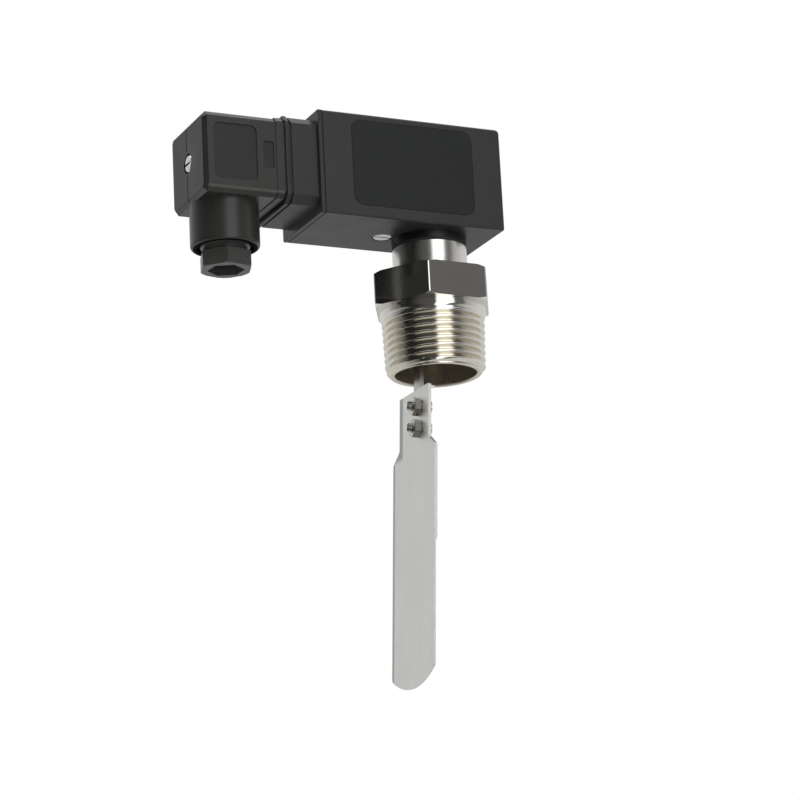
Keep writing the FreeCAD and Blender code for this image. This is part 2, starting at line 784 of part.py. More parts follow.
# ---- internal wires ------------------------------------------------------------
def tube(points, r):
    """Round wire along straight runs joined by tangent arcs."""
    V = [FreeCAD.Vector(*p) for p in points]
    out, last = [], V[0]
    for i in range(1, len(V) - 1):
        a, c = V[i - 1] - V[i], V[i + 1] - V[i]
        la, lc = a.Length, c.Length
        a.normalize()
        c.normalize()
        half = a.getAngle(c) / 2.0
        run = 0.4 * min(la, lc)
        p, q = V[i] + a * run, V[i] + c * run
        rad = run * math.tan(half)
        bis = a + c
        bis.normalize()
        mid = V[i] + bis * (rad / math.sin(half) - rad)
        out.append(Part.LineSegment(last, p).toShape())
        out.append(Part.Arc(p, mid, q).toShape())
        last = q
    out.append(Part.LineSegment(last, V[-1]).toShape())
    path = Part.Wire(out)
    d = V[1] - V[0]
    d.normalize()
    circle = Part.Wire([Part.Edge(Part.Circle(V[0], d, r))])
    return path.makePipeShell([circle], True, False)


def feature(name, shapes):
    f = doc.addObject("Part::Feature", name)
    f.Label = name
    f.Shape = Part.makeCompound(shapes) if len(shapes) > 1 else shapes[0]
    NODES.append(f)
    return f


cz = con_z.v
xt = stub_x.v + 9.9
feature(
    "switch_wires",
    [
        tube([(-10.5, -1.15, 63.5), (-10.5, -1.15, 65.9), (-16.0, 0.0, 66.6), (-34.0, 0.0, 66.0), (-34.0, 0.0, cz + 7.0), (xt, 0.0, cz + 7.0)], 0.65),
        tube([(-3.1, -1.15, 63.5), (-3.1, -1.15, 65.6), (-8.0, -5.0, 66.4), (-31.0, -6.5, 66.0), (-31.0, -7.0, cz), (xt, -7.0, cz)], 0.65),
        tube([(4.3, -1.15, 63.5), (4.3, -1.15, 65.6), (0.0, 4.5, 66.4), (-29.0, 5.0, 66.0), (-29.0, 0.0, cz - 7.0), (xt, 0.0, cz - 7.0)], 0.65),
    ],
)
feature(
    "earth_wire",
    [tube([(-17.2, 10.4, 44.6), (-27.0, 10.4, 44.6), (-33.0, 7.0, cz), (xt, 7.0, cz)], 0.65)],
)
b = body("earth_tag")
box(b, -17.1, -15.0, 9.4, 11.4, 43.95, 45.2)
box(b, -15.6, -14.9, 9.4, 11.4, 42.57, 45.2)
s = sketch(b, "XY", 42.57)
rect(s, -15.6, -14.5, 9.4, 11.4)
pad(b, s, 0.5)

# ---- gasket and plug ------------------------------------------------------------
b = body("profile_gasket")
s = sketch(b, "YZ", gask_x + 0.02)
poly(s, chamfered(pl_y - 0.5, pl_h - 0.5, pl_c, 0, con_z))
rect(s, -3.6, 3.6, con_z + 5.9, con_z + 8.1)
rect(s, -3.6, 3.6, con_z - 8.1, con_z - 5.9)
rect(s, -8.1, -5.9, con_z - 3.6, con_z + 3.6)
rect(s, 5.9, 8.1, con_z - 3.6, con_z + 3.6)
circ(s, 0, con_z, 1.9)
pad(b, s, stub_x - gask_x - 0.04)
# sealing lip round the middle of the edge, standing proud of its two neighbours
gm = (stub_x + gask_x) / 2.0
s = sketch(b, "YZ", gm - 0.75)
poly(s, chamfered(con_y + 0.2, con_h + 0.3, con_c, 0, con_z))
poly(s, chamfered(pl_y - 0.8, pl_h - 0.8, pl_c, 0, con_z))
pad(b, s, 1.4)
fillet(b, lambda p, t, e: abs(t.x) < 0.01 and max(abs(p.y) - con_y.v - 0.2, abs(p.z - con_z.v) - con_h.v - 0.3) > -0.05 and e.Length > 5, 0.3)

b = body("plug_housing")
s = sketch(b, "YZ", gask_x - flange_t)
poly(s, chamfered(pl_y, pl_h, pl_c, 0, con_z))
pad(b, s, flange_t)
s = sketch(b, "YZ", plug_x)
poly(s, chamfered(pl_y - 0.3, pl_h - 0.3, pl_c, 0, con_z))
pad(b, s, gask_x - flange_t - plug_x + 0.3)
fillet(b, lambda p, t, e: near(p.x, plug_x), 1.3, "Chamfer")
fillet(b, lambda p, t, e: abs(t.x) > 0.95 and (near(abs(p.y), pl_y - 0.3, 0.05) or near(abs(p.z - con_z.v), pl_h - 0.3, 0.05)), 0.6)
# cable gland tube below
s = sketch(b, "XY", gl_z)
circ(s, gl_x, 0, gl_r)
pad(b, s, con_z - pl_h + 1.5 - gl_z)
fillet(b, lambda p, t, e: near(p.z, gl_z) and e.Length > 30, 0.9)
# cavity, cable entry and screw hole
s = sketch(b, "YZ", gask_x)
rect(s, -11.2, 11.2, con_z - 11.2, con_z + 11.2)
pocket(b, s, gask_x - plug_x - 2.4)
s = sketch(b, "XY", gl_z)
circ(s, gl_x, 0, 8.15)
pocket(b, s, 11.0, rev=True)
s = sketch(b, "XY", gl_z)
circ(s, gl_x, 0, 6.3)
pocket(b, s, 20.0, rev=True)
s = sketch(b, "XY", gl_z)
circ(s, gl_x, 0, 9.2)
pocket(b, s, 0.9, rev=True)
s = sketch(b, "YZ", plug_x)
circ(s, 0, con_z, 3.3)
pocket(b, s, 1.6, rev=True)
s = sketch(b, "YZ", plug_x)
circ(s, 0, con_z, 1.75)
pocket(b, s, 6.0, rev=True)
# parting groove on the end face, above and below the screw
s = sketch(b, "YZ", plug_x)
rect(s, 0.5, 1.0, con_z + 4.2, con_z + 15)
rect(s, 0.5, 1.0, con_z - 15, con_z - 4.2)
pocket(b, s, 0.4, rev=True)
# bare panels moulded in the two sides
for sg in (1, -1):
    s = sketch(b, "XZ", (pl_y - 0.3) if sg > 0 else (0.3 - pl_y))
    rect(s, -80.4, -65.7, con_z - 9.0, con_z + 9.6)
    rect(s, -63.6, -59.9, con_z - 4.2, con_z + 4.9)
    pocket(b, s, 0.4, rev=sg < 0)
fillet(b, lambda p, t, e: abs(t.y) > 0.99 and near(abs(p.y), pl_y - 0.5, 0.06) and e.Length < 0.6 and p.x < -64.5, 2.0)
fillet(b, lambda p, t, e: abs(t.y) > 0.99 and near(abs(p.y), pl_y - 0.5, 0.06) and e.Length < 0.6 and p.x > -64.5, 0.7)

b = body("plug_insert")
s = sketch(b, "YZ", gask_x - 10.4)
rect(s, -11.0, 11.0, con_z - 11.0, con_z + 11.0)
pad(b, s, 10.2)
s = sketch(b, "YZ", gask_x)
rect(s, -3.9, 3.9, con_z + 5.4, con_z + 8.6)
rect(s, -3.9, 3.9, con_z - 8.6, con_z - 5.4)
rect(s, -8.6, -5.4, con_z - 3.9, con_z + 3.9)
rect(s, 5.4, 8.6, con_z - 3.9, con_z + 3.9)
circ(s, 0, con_z, 1.75)
pocket(b, s, 14)
fillet(b, lambda p, t, e: abs(t.x) > 0.99 and max(abs(p.y), abs(p.z - con_z.v)) > 10.9, 0.6)

b = body("plug_contacts")
s = sketch(b, "YZ", gask_x - 10.8)
for k in range(4):
    if k < 2:
        zz = con_z + (7.0 if k == 0 else -7.0)
        rect(s, -3.8, 3.8, zz - 1.5, zz + 1.5)
        rect(s, -3.15, 3.15, zz - 0.55, zz + 0.55)
    else:
        yy = -7.0 if k == 2 else 7.0
        rect(s, yy - 1.5, yy + 1.5, con_z - 3.8, con_z + 3.8)
        rect(s, yy - 0.55, yy + 0.55, con_z - 3.15, con_z + 3.15)
pad(b, s, 10.3)

b = body("clamp_screws")
s = sketch(b, "YZ", gask_x - 13.2)
for y, z in ((0, 7.0), (0, -7.0), (-7.0, 0), (7.0, 0)):
    circ(s, y, con_z + z, 1.9)
pad(b, s, 2.35)
s = sketch(b, "YZ", gask_x - 13.5)
for y, z in ((0, 7.0), (0, -7.0), (-7.0, 0), (7.0, 0)):
    rect(s, y - 2, y + 2, con_z + z - 0.3, con_z + z + 0.3)
pocket(b, s, 1.0, rev=True)

b = body("central_screw")
s = sketch(b, "XY")
poly(s, [(0, 0), (0.0, 2.9), (1.5, 2.9), (1.5, 1.5), (32.9, 1.5), (33.3, 1.1), (33.3, 0)])
revolve(b, s, "H_Axis")
s = sketch(b, "YZ")
rect(s, -3.5, 3.5, -0.4, 0.4)
pocket(b, s, 0.8, rev=True)
fillet(b, lambda p, t, e: near(p.x, 0) and e.Length > 6, 0.35, "Chamfer")
at(b, plug_x + 0.08, 0, con_z)

# ---- cable gland: grommet, washer and pressure nut --------------------------------
b = body("gland_seal")
s = sketch(b, "XZ")
poly(s, [(4.6, 4.9), (7.6, 4.9), (8.0, 5.3), (8.0, 9.9), (7.6, 10.4), (4.6, 10.4)])
revolve(b, s)
at(b, gl_x, 0, gl_z)

b = body("gland_washer")
s = sketch(b, "XY", 4.2)
circ(s, 0, 0, 7.9)
circ(s, 0, 0, 5.3)
pad(b, s, 0.6)
at(b, gl_x, 0, gl_z)

b = body("gland_nut")
s = sketch(b, "XZ")
na = nut_af / 2.0
poly(
    s,
    [
        (cable_r, 0.0), (na - 0.5, 0.0), (na, 0.5), (na, 5.4), (na - 0.6, 6.0), (na - 0.6, 7.1),
        (7.9, 7.4), (7.9, 10.6), (7.5, 11.0), (cable_r, 11.0),
    ],
)
revolve(b, s)
s = sketch(b, "XY", 0)
poly(s, hexagon(nut_af, 13.2))
circ(s, 0, 0, nut_af / 2.0 - 1.0)
pad(b, s, 5.2)
s = sketch(b, "XZ")
poly(s, [(na + 0.25, -0.02), (na + 3.0, -0.02), (na + 3.0, 1.4)])
groove(b, s)
s = sketch(b, "XY", 0)
poly(s, hexagon(cable_r * 2.0, 34.5))
pocket(b, s, 1.4, rev=True)
at(b, gl_x, 0, nut_z)

# ---- checks and export ---------------------------------------------------------
doc.recompute()
bad = [o.Label for o in doc.Objects if any(w in str(o.State) for w in ("Invalid", "Error"))]
if bad:
    raise RuntimeError("failed objects: " + ", ".join(bad))
os.makedirs("parts", exist_ok=True)
seen = set()
for n in NODES:
    sh = n.Shape
    if sh.isNull() or not sh.isValid() or not sh.Solids:
        raise RuntimeError("bad shape: " + n.Label)
    if n.Label in seen:
        raise RuntimeError("label used twice: " + n.Label)
    seen.add(n.Label)
    sh.exportStep(os.path.join("parts", n.Label + ".step"))
    bb = sh.BoundBox
    print(
        "%-20s solids %d volume %9.2f  x %.2f..%.2f y %.2f..%.2f z %.2f..%.2f"
        % (n.Label, len(sh.Solids), sh.Volume, bb.XMin, bb.XMax, bb.YMin, bb.YMax, bb.ZMin, bb.ZMax)
    )
print(len(seen), "nodes")
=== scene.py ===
import bpy, bmesh, json, math
import numpy as np
from mathutils import Matrix, Vector


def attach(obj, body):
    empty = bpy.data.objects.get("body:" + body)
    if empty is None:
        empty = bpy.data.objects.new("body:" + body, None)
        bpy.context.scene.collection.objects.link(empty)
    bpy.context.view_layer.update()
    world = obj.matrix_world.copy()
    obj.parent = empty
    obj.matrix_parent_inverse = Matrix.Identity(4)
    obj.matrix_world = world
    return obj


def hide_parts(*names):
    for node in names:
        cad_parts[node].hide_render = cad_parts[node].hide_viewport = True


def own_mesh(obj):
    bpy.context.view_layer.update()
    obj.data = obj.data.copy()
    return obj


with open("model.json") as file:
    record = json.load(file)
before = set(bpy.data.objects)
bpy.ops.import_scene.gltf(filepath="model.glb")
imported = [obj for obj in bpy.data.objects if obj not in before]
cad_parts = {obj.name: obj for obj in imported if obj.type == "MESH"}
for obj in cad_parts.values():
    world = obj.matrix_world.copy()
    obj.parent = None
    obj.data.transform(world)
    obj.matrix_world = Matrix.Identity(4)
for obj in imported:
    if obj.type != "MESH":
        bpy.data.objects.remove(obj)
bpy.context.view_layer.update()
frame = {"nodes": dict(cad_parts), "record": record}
NODES = frame["nodes"]
MM = 0.001


# =====================================================================
# camera, at the photograph's viewing angle
# =====================================================================
def make_camera():
    right = Vector((0.90754736, -0.41704081, -0.04934322))
    up = Vector((-0.06725079, -0.26030952, 0.9631803))
    back = right.cross(up)
    cam = bpy.data.objects.new("camera", bpy.data.cameras.new("camera"))
    bpy.context.scene.collection.objects.link(cam)
    m = Matrix((right, up, back)).transposed().to_4x4()
    m.translation = Vector((-0.40681, -0.82654, -0.27041))
    cam.matrix_world = m
    cam.data.lens = 132.98
    cam.data.sensor_width = 36.0
    cam.data.clip_start, cam.data.clip_end = 0.05, 20.0
    bpy.context.scene.camera = cam


make_camera()
CAM_AZ = math.radians(-25.456)


# =====================================================================
# node helpers
# =====================================================================
class Tree:
    """A short way to write node graphs."""

    def __init__(self, tree):
        self.t = tree
        self.n = tree.nodes
        self.x = -1600

    def node(self, kind, **props):
        nd = self.n.new(kind)
        self.x += 40
        nd.location = (self.x, 0)
        for k, v in props.items():
            setattr(nd, k, v)
        return nd

    def put(self, sock, v):
        if isinstance(v, bpy.types.NodeSocket):
            self.t.links.new(v, sock)
        elif v is not None:
            sock.default_value = v

    def math(self, op, a, b=None, c=None, clamp=False):
        nd = self.node("ShaderNodeMath", operation=op, use_clamp=clamp)
        for s, v in zip(nd.inputs, (a, b, c)):
            self.put(s, v)
        return nd.outputs[0]

    def vec(self, op, a, b=None, scale=None):
        nd = self.node("ShaderNodeVectorMath", operation=op)
        self.put(nd.inputs[0], a)
        if b is not None:
            self.put(nd.inputs[1], b)
        if scale is not None:
            self.put(nd.inputs["Scale"], scale)
        return nd.outputs["Value"] if op in ("DOT_PRODUCT", "LENGTH", "DISTANCE") else nd.outputs[0]

    def coords(self):
        return self.node("ShaderNodeTexCoord").outputs["Object"]

    def stretch(self, v, s, loc=(0, 0, 0), rot=(0, 0, 0)):
        nd = self.node("ShaderNodeMapping", vector_type="POINT")
        self.put(nd.inputs["Vector"], v)
        nd.inputs["Scale"].default_value = s
        nd.inputs["Location"].default_value = loc
        nd.inputs["Rotation"].default_value = rot
        return nd.outputs[0]

    def noise(self, v, scale, detail=3.0, rough=0.55, distortion=0.0):
        nd = self.node("ShaderNodeTexNoise")
        self.put(nd.inputs["Vector"], v)
        nd.inputs["Scale"].default_value = scale
        nd.inputs["Detail"].default_value = detail
        nd.inputs["Roughness"].default_value = rough
        nd.inputs["Distortion"].default_value = distortion
        return nd.outputs[0]

    def voronoi(self, v, scale, feature="F1", out="Distance"):
        nd = self.node("ShaderNodeTexVoronoi", feature=feature)
        self.put(nd.inputs["Vector"], v)
        nd.inputs["Scale"].default_value = scale
        return nd.outputs[out]

    def span(self, v, a, b, c=0.0, d=1.0, smooth=False):
        nd = self.node("ShaderNodeMapRange", clamp=True)
        nd.interpolation_type = "SMOOTHSTEP" if smooth else "LINEAR"
        for s, x in zip(list(nd.inputs)[:5], (v, a, b, c, d)):
            self.put(s, x)
        return nd.outputs[0]

    def ramp(self, v, stops, mode="LINEAR"):
        nd = self.node("ShaderNodeValToRGB")
        nd.color_ramp.interpolation = mode
        el = nd.color_ramp.elements
        while len(el) > 1:
            el.remove(el[-1])
        for i, (p, c) in enumerate(stops):
            if not isinstance(c, (tuple, list)):
                c = (c, c, c)
            e = el[0] if i == 0 else el.new(p)
            e.position = p
            e.color = (c[0], c[1], c[2], 1.0)
        self.put(nd.inputs[0], v)
        return nd.outputs[0]

    def mix(self, f, a, b, kind="MIX"):
        nd = self.node("ShaderNodeMix", data_type="RGBA", blend_type=kind)
        self.put(nd.inputs[0], f)
        for s, v in ((nd.inputs[6], a), (nd.inputs[7], b)):
            if isinstance(v, (tuple, list)):
                v = (v[0], v[1], v[2], 1.0)
            self.put(s, v)
        return nd.outputs[2]

    def blend(self, f, a, b):
        """Float mix."""
        nd = self.node("ShaderNodeMix", data_type="FLOAT")
        self.put(nd.inputs[0], f)
        self.put(nd.inputs[2], a)
        self.put(nd.inputs[3], b)
        return nd.outputs[0]

    def xyz(self, v):
        nd = self.node("ShaderNodeSeparateXYZ")
        self.put(nd.inputs[0], v)
        return nd.outputs

    def bump(self, height, strength, distance, normal=None):
        nd = self.node("ShaderNodeBump")
        nd.inputs["Strength"].default_value = strength
        nd.inputs["Distance"].default_value = distance
        self.put(nd.inputs["Height"], height)
        if normal is not None:
            self.put(nd.inputs["Normal"], normal)
        return nd.outputs[0]

    def edge(self, radius, lo=0.02, hi=0.25):
        """1 on convex or concave edges, 0 on flats: how far a rounded normal leaves the true one."""
        bv = self.node("ShaderNodeBevel", samples=6)
        bv.inputs["Radius"].default_value = radius
        ge = self.node("ShaderNodeNewGeometry")
        d = self.vec("DOT_PRODUCT", bv.outputs[0], ge.outputs["Normal"])
        return self.span(self.math("SUBTRACT", 1.0, d), lo, hi, 0.0, 1.0)


def new_material(name):
    m = bpy.data.materials.new(name)
    m.use_nodes = True
    t = Tree(m.node_tree)
    for nd in list(t.n):
        t.n.remove(nd)
    out = t.node("ShaderNodeOutputMaterial")
    p = t.node("ShaderNodeBsdfPrincipled")
    out.location, p.location = (700, 0), (400, 0)
    t.t.links.new(p.outputs[0], out.inputs[0])
    return m, t, p


def set_(t, p, name, v):
    s = p.inputs[name]
    if isinstance(v, (tuple, list)) and len(v) == 3:
        v = (v[0], v[1], v[2], 1.0)
    t.put(s, v)


# =====================================================================
# materials
# =====================================================================
def plastic(name, base, worn, rough=0.5, grain=5200.0, grain_d=0.000018, spec=0.5, wear=0.5, cloud=0.12, painted_edge_shade=0.0, panel=None, low=None):
    """Moulded plastic: fine spark-eroded grain, faint flow clouds, rubbed edges, a few light scuffs."""
    m, t, p = new_material(name)
    co = t.coords()
    clouds = t.noise(co, 55.0, 4.0, 0.6, 0.4)
    fleck = t.noise(co, grain * 0.5, 2.0, 0.7)
    cells = t.voronoi(co, grain)
    fine = t.noise(co, grain * 1.6, 2.0, 0.6)
    e = t.edge(0.00032, 0.03, 0.3)
    rub = t.math("MULTIPLY", e, t.span(t.noise(co, 420.0, 4.0, 0.65), 0.42, 0.66), clamp=True)
    scratch = t.noise(t.stretch(co, (1.0, 1.0, 9.0), rot=(0.5, 0.3, 0.9)), 260.0, 5.0, 0.75, 0.6)
    scuff = t.span(scratch, 0.70, 0.76, 0.0, 0.35)
    dark = tuple(c * (1.0 - cloud) for c in base)
    lite = tuple(c * (1.0 + cloud) for c in base)
    col = t.mix(clouds, dark, lite)
    col = t.mix(t.span(fleck, 0.35, 0.75, 0.0, 0.22), col, tuple(c * 1.5 for c in base))
    col = t.mix(t.math("MULTIPLY", rub, wear, clamp=True), col, worn)
    col = t.mix(t.math("MULTIPLY", scuff, 0.35), col, worn)
    # painted shade: edges, convex and concave, darkened towards black
    if painted_edge_shade:
        col = t.mix(t.math("MULTIPLY", e, painted_edge_shade), col, tuple(c * 0.25 for c in base))
    x, y, z = t.xyz(co)
    if panel:
        # moulded panel floors: the band of |y| that lies between the recess floor and the face
        ay = t.math("ABSOLUTE", y)
        pm = t.span(ay, panel[0], panel[1], 1.0, 0.0)
        pm = t.math("MULTIPLY", pm, t.span(ay, panel[0] - 0.0006, panel[0] - 0.0005, 0.0, 1.0))
        pm = t.math("MULTIPLY", pm, t.math("MULTIPLY", t.span(x, panel[2], panel[2] + 0.0001, 0.0, 1.0), t.span(x, panel[3] - 0.0001, panel[3], 1.0, 0.0)))
        pm = t.math("MULTIPLY", pm, t.math("MULTIPLY", t.span(z, panel[4], panel[4] + 0.0001, 0.0, 1.0), t.span(z, panel[5] - 0.0001, panel[5], 1.0, 0.0)))
        col = t.mix(pm, col, tuple(c * 0.55 for c in base))
    if panel:
        # end face: lower specular level, and painted shade: darker all over, darkest on its far half
        end_face_shade_and_gloss_mask = t.span(x, -0.08365, -0.0834, 1.0, 0.0)
        col = t.mix(end_face_shade_and_gloss_mask, col, tuple(c * 0.30 for c in base))
        col = t.mix(t.math("MULTIPLY", end_face_shade_and_gloss_mask, t.span(y, 0.0, 0.0012, 0.0, 1.0)), col, tuple(c * 0.10 for c in base))
        # painted highlight: a light line along the lower front edge of the cover
        painted_ridge_highlight = t.math("MULTIPLY", t.span(z, 0.04115, 0.04145, 0.0, 1.0), t.span(z, 0.04185, 0.04225, 1.0, 0.0))
        painted_ridge_highlight = t.math("MULTIPLY", painted_ridge_highlight, t.span(ay, 0.0138, 0.0141, 0.0, 1.0))
        col = t.mix(t.math("MULTIPLY", painted_ridge_highlight, 0.75), col, (0.105, 0.103, 0.098))
        # mouth of the gland tube, inside its rim: painted shade, with a rougher, less glossy surface
        dx = t.math("ADD", x, 0.0719)
        rad = t.math("SQRT", t.math("ADD", t.math("MULTIPLY", dx, dx), t.math("MULTIPLY", y, y)))
        mouth_shade_mask = t.math("MULTIPLY", t.span(z, 0.0300, 0.0310, 1.0, 0.0), t.span(rad, 0.0102, 0.0105, 1.0, 0.0))
        col = t.mix(mouth_shade_mask, col, tuple(c * 0.15 for c in base))
    if low:
        # the boss round the neck, in the shade of its seal
        col = t.mix(t.span(z, low - 0.0002, low, 1.0, 0.0), col, tuple(c * 0.2 for c in base))
    set_(t, p, "Base Color", col)
    r = t.span(clouds, 0.3, 0.7, rough - 0.05, rough + 0.05)
    if panel:
        r = t.blend(pm, r, rough - 0.02)
        r = t.blend(mouth_shade_mask, r, 0.75)
    r = t.math("ADD", r, t.span(fleck, 0.3, 0.8, -0.03, 0.05))
    r = t.blend(t.math("MULTIPLY", rub, 0.6), r, rough - 0.16)
    set_(t, p, "Roughness", r)
    if panel:
        # the wet-look gloss stops at the end face and inside the gland's mouth
        level = t.blend(mouth_shade_mask, spec, 0.04)
        set_(t, p, "Specular IOR Level", t.blend(end_face_shade_and_gloss_mask, level, spec * 0.55))
    else:
        p.inputs["Specular IOR Level"].default_value = spec
    p.inputs["IOR"].default_value = 1.5
    h = t.math("ADD", t.math("MULTIPLY", cells, 0.7), t.math("MULTIPLY", fine, 0.6))
    b1 = t.bump(clouds, 0.12, 0.00012)
    set_(t, p, "Normal", t.bump(h, 0.55, grain_d, b1))
    return m


def metal(name, base, rough, tint=None, lines=None, line_d=0.000004, grit=2600.0, grit_d=0.000004, wear=0.3, spots=0.12):
    """Bare or plated metal. lines = (x, y, z) stretch of the machining or rolling marks."""
    m, t, p = new_material(name)
    co = t.coords()
    clouds = t.noise(co, 120.0, 4.0, 0.6, 0.3)
    fine = t.noise(co, grit, 3.0, 0.65)
    e = t.edge(0.00018, 0.03, 0.3)
    tint = tint or tuple(c * 0.86 for c in base)
    col = t.mix(t.span(clouds, 0.35, 0.7, 0.0, 0.45), base, tint)
    stain = t.span(t.noise(co, 620.0, 5.0, 0.7, 0.5), 0.60, 0.74, 0.0, spots)
    col = t.mix(stain, col, tuple(c * 0.45 for c in base))
    col = t.mix(t.math("MULTIPLY", e, wear), col, tuple(min(1.0, c * 1.15) for c in base))
    set_(t, p, "Base Color", col)
    p.inputs["Metallic"].default_value = 1.0
    r = t.span(fine, 0.3, 0.75, rough * 0.82, rough * 1.25)
    r = t.math("ADD", r, t.math("MULTIPLY", stain, 0.5))
    set_(t, p, "Roughness", r)
    nrm = t.bump(fine, 0.35, grit_d)
    if lines:
        ln = t.noise(t.stretch(co, lines), 900.0, 4.0, 0.7)
        nrm = t.bump(ln, 0.5, line_d, nrm)
    set_(t, p, "Normal", nrm)
    return m


def turned_metal(name, base, rough, centre=(0, 0), pitch=0.00012, depth=0.0000035):
    """Metal turned about a vertical axis: feed marks that run round, drawn from the height."""
    m, t, p = new_material(name)
    co = t.coords()
    x, y, z = t.xyz(co)
    clouds = t.noise(co, 90.0, 4.0, 0.6, 0.3)
    fine = t.noise(co, 2400.0, 3.0, 0.65)
    wob = t.noise(t.stretch(co, (0.05, 0.05, 1.0)), 2200.0, 3.0, 0.7)
    feed = t.math("SINE", t.math("MULTIPLY", t.math("ADD", z, t.math("MULTIPLY", wob, pitch * 1.5)), 2 * math.pi / pitch))
    col = t.mix(t.span(clouds, 0.35, 0.7, 0.0, 0.4), base, tuple(c * 0.88 for c in base))
    set_(t, p, "Base Color", col)
    p.inputs["Metallic"].default_value = 1.0
    set_(t, p, "Roughness", t.span(wob, 0.3, 0.7, rough * 0.8, rough * 1.25))
    set_(t, p, "Normal", t.bump(feed, 0.4, depth, t.bump(fine, 0.3, 0.000003)))
    return m


def nickel_thread(name):
    """Nickel over brass on the process thread: bright crests, warmer and duller grooves, small dark pits, a darker,
    browner, duller bore.
    """
    m, t, p = new_material(name)
    co = t.coords()
    x, y, z = t.xyz(co)
    r = t.math("SQRT", t.math("ADD", t.math("MULTIPLY", x, x), t.math("MULTIPLY", y, y)))
    crest = t.math("ADD", 0.01662, t.math("MULTIPLY", z, 1.0 / 32.0))
    deep = t.span(t.math("SUBTRACT", crest, r), 0.00008, 0.00055, 0.0, 1.0, smooth=True)
    inside = t.span(r, 0.01345, 0.0136, 1.0, 0.0)
    below = t.span(z, 0.0078, 0.0083, 1.0, 0.0)
    groove = t.math("MULTIPLY", deep, t.math("MULTIPLY", below, t.math("SUBTRACT", 1.0, inside)))
    clouds = t.noise(co, 110.0, 4.0, 0.6, 0.3)
    fine = t.noise(co, 2600.0, 3.0, 0.65)
    pits = t.span(t.noise(co, 1500.0, 4.0, 0.75, 0.4), 0.60, 0.72, 0.0, 1.0)
    wob = t.noise(t.stretch(co, (0.06, 0.06, 1.0)), 2600.0, 3.0, 0.7)
    col = t.mix(t.span(clouds, 0.35, 0.7, 0.0, 0.5), (0.78, 0.76, 0.715), (0.72, 0.695, 0.635))
    col = t.mix(t.math("MULTIPLY", groove, 0.70), col, (0.68, 0.64, 0.53))
    col = t.mix(inside, col, (0.52, 0.48, 0.385))
    col = t.mix(t.math("MULTIPLY", pits, t.math("ADD", 0.10, t.math("MULTIPLY", groove, 0.35))), col, (0.20, 0.17, 0.13))
    set_(t, p, "Base Color", col)
    set_(t, p, "Metallic", t.math("SUBTRACT", 1.0, t.math("MULTIPLY", inside, 0.14)))
    ro = t.span(fine, 0.3, 0.75, 0.06, 0.10)
    ro = t.math("ADD", ro, t.math("MULTIPLY", groove, 0.07))
    ro = t.math("ADD", ro, t.math("MULTIPLY", inside, 0.10))
    set_(t, p, "Roughness", ro)
    feed = t.math("SINE", t.math("MULTIPLY", t.math("ADD", z, t.math("MULTIPLY", wob, 0.0002)), 2 * math.pi / 0.00016))
    set_(t, p, "Normal", t.bump(feed, 0.16, 0.0000025, t.bump(fine, 0.3, 0.000004)))
    return m


def nickel_polished(name):
    """The hexagon and collar: bright nickel with faint polishing lines, orange peel and handling marks."""
    m, t, p = new_material(name)
    co = t.coords()
    x, y, z = t.xyz(co)
    clouds = t.noise(co, 90.0, 4.0, 0.6, 0.4)
    peel = t.noise(co, 420.0, 2.0, 0.5)
    lines = t.noise(t.stretch(co, (0.12, 0.12, 1.0)), 2600.0, 4.0, 0.75)
    marks = t.span(t.noise(t.stretch(co, (1.0, 1.0, 0.12), rot=(0.4, 0.2, 0.1)), 900.0, 5.0, 0.75), 0.66, 0.74, 0.0, 1.0)
    e = t.edge(0.00035, 0.03, 0.3)
    col = t.mix(t.span(clouds, 0.35, 0.7, 0.0, 0.5), (0.78, 0.76, 0.72), (0.72, 0.70, 0.66))
    col = t.mix(t.math("MULTIPLY", marks, 0.12), col, (0.5, 0.48, 0.44))
    col = t.mix(t.math("MULTIPLY", e, 0.10), col, (0.86, 0.84, 0.80))
    set_(t, p, "Base Color", col)
    p.inputs["Metallic"].default_value = 1.0
    ro = t.span(lines, 0.3, 0.75, 0.05, 0.09)
    ro = t.math("ADD", ro, t.math("MULTIPLY", marks, 0.08))
    set_(t, p, "Roughness", ro)
    set_(t, p, "Normal", t.bump(lines, 0.25, 0.0000015, t.bump(peel, 0.10, 0.00001)))
    return m


def nickel_neck(name):
    """The neck: nickel over a turned surface, so its reflections are drawn out and softer."""
    m, t, p = new_material(name)
    co = t.coords()
    x, y, z = t.xyz(co)
    clouds = t.noise(co, 90.0, 4.0, 0.6, 0.4)
    fine = t.noise(co, 2600.0, 3.0, 0.65)
    wob = t.noise(t.stretch(co, (0.04, 0.04, 1.0)), 2400.0, 4.0, 0.7)
    feed = t.math("SINE", t.math("MULTIPLY", t.math("ADD", z, t.math("MULTIPLY", wob, 0.00015)), 2 * math.pi / 0.00014))
    col = t.mix(t.span(clouds, 0.35, 0.7, 0.0, 0.5), (0.78, 0.76, 0.73), (0.70, 0.68, 0.64))
    set_(t, p, "Base Color", col)
    p.inputs["Metallic"].default_value = 1.0
    set_(t, p, "Roughness", t.span(wob, 0.3, 0.7, 0.17, 0.25))
    set_(t, p, "Normal", t.bump(feed, 0.3, 0.000003, t.bump(fine, 0.3, 0.000003)))
    return m


def rubber(name, base=(0.022, 0.022, 0.022), rough=0.62):
    m, t, p = new_material(name)
    co = t.coords()
    clouds = t.noise(co, 140.0, 4.0, 0.6)
    fine = t.noise(co, 3400.0, 3.0, 0.7)
    bloom = t.span(t.noise(co, 300.0, 5.0, 0.7, 0.5), 0.50, 0.72, 0.0, 0.5)
    col = t.mix(clouds, tuple(c * 0.8 for c in base), tuple(c * 1.25 for c in base))
    col = t.mix(bloom, col, tuple(c * 2.0 + 0.006 for c in base))
    set_(t, p, "Base Color", col)
    set_(t, p, "Roughness", t.span(fine, 0.3, 0.7, rough - 0.08, rough + 0.08))
    p.inputs["Specular IOR Level"].default_value = 0.4
    set_(t, p, "Normal", t.bump(fine, 0.4, 0.00001, t.bump(clouds, 0.15, 0.00006)))
    return m


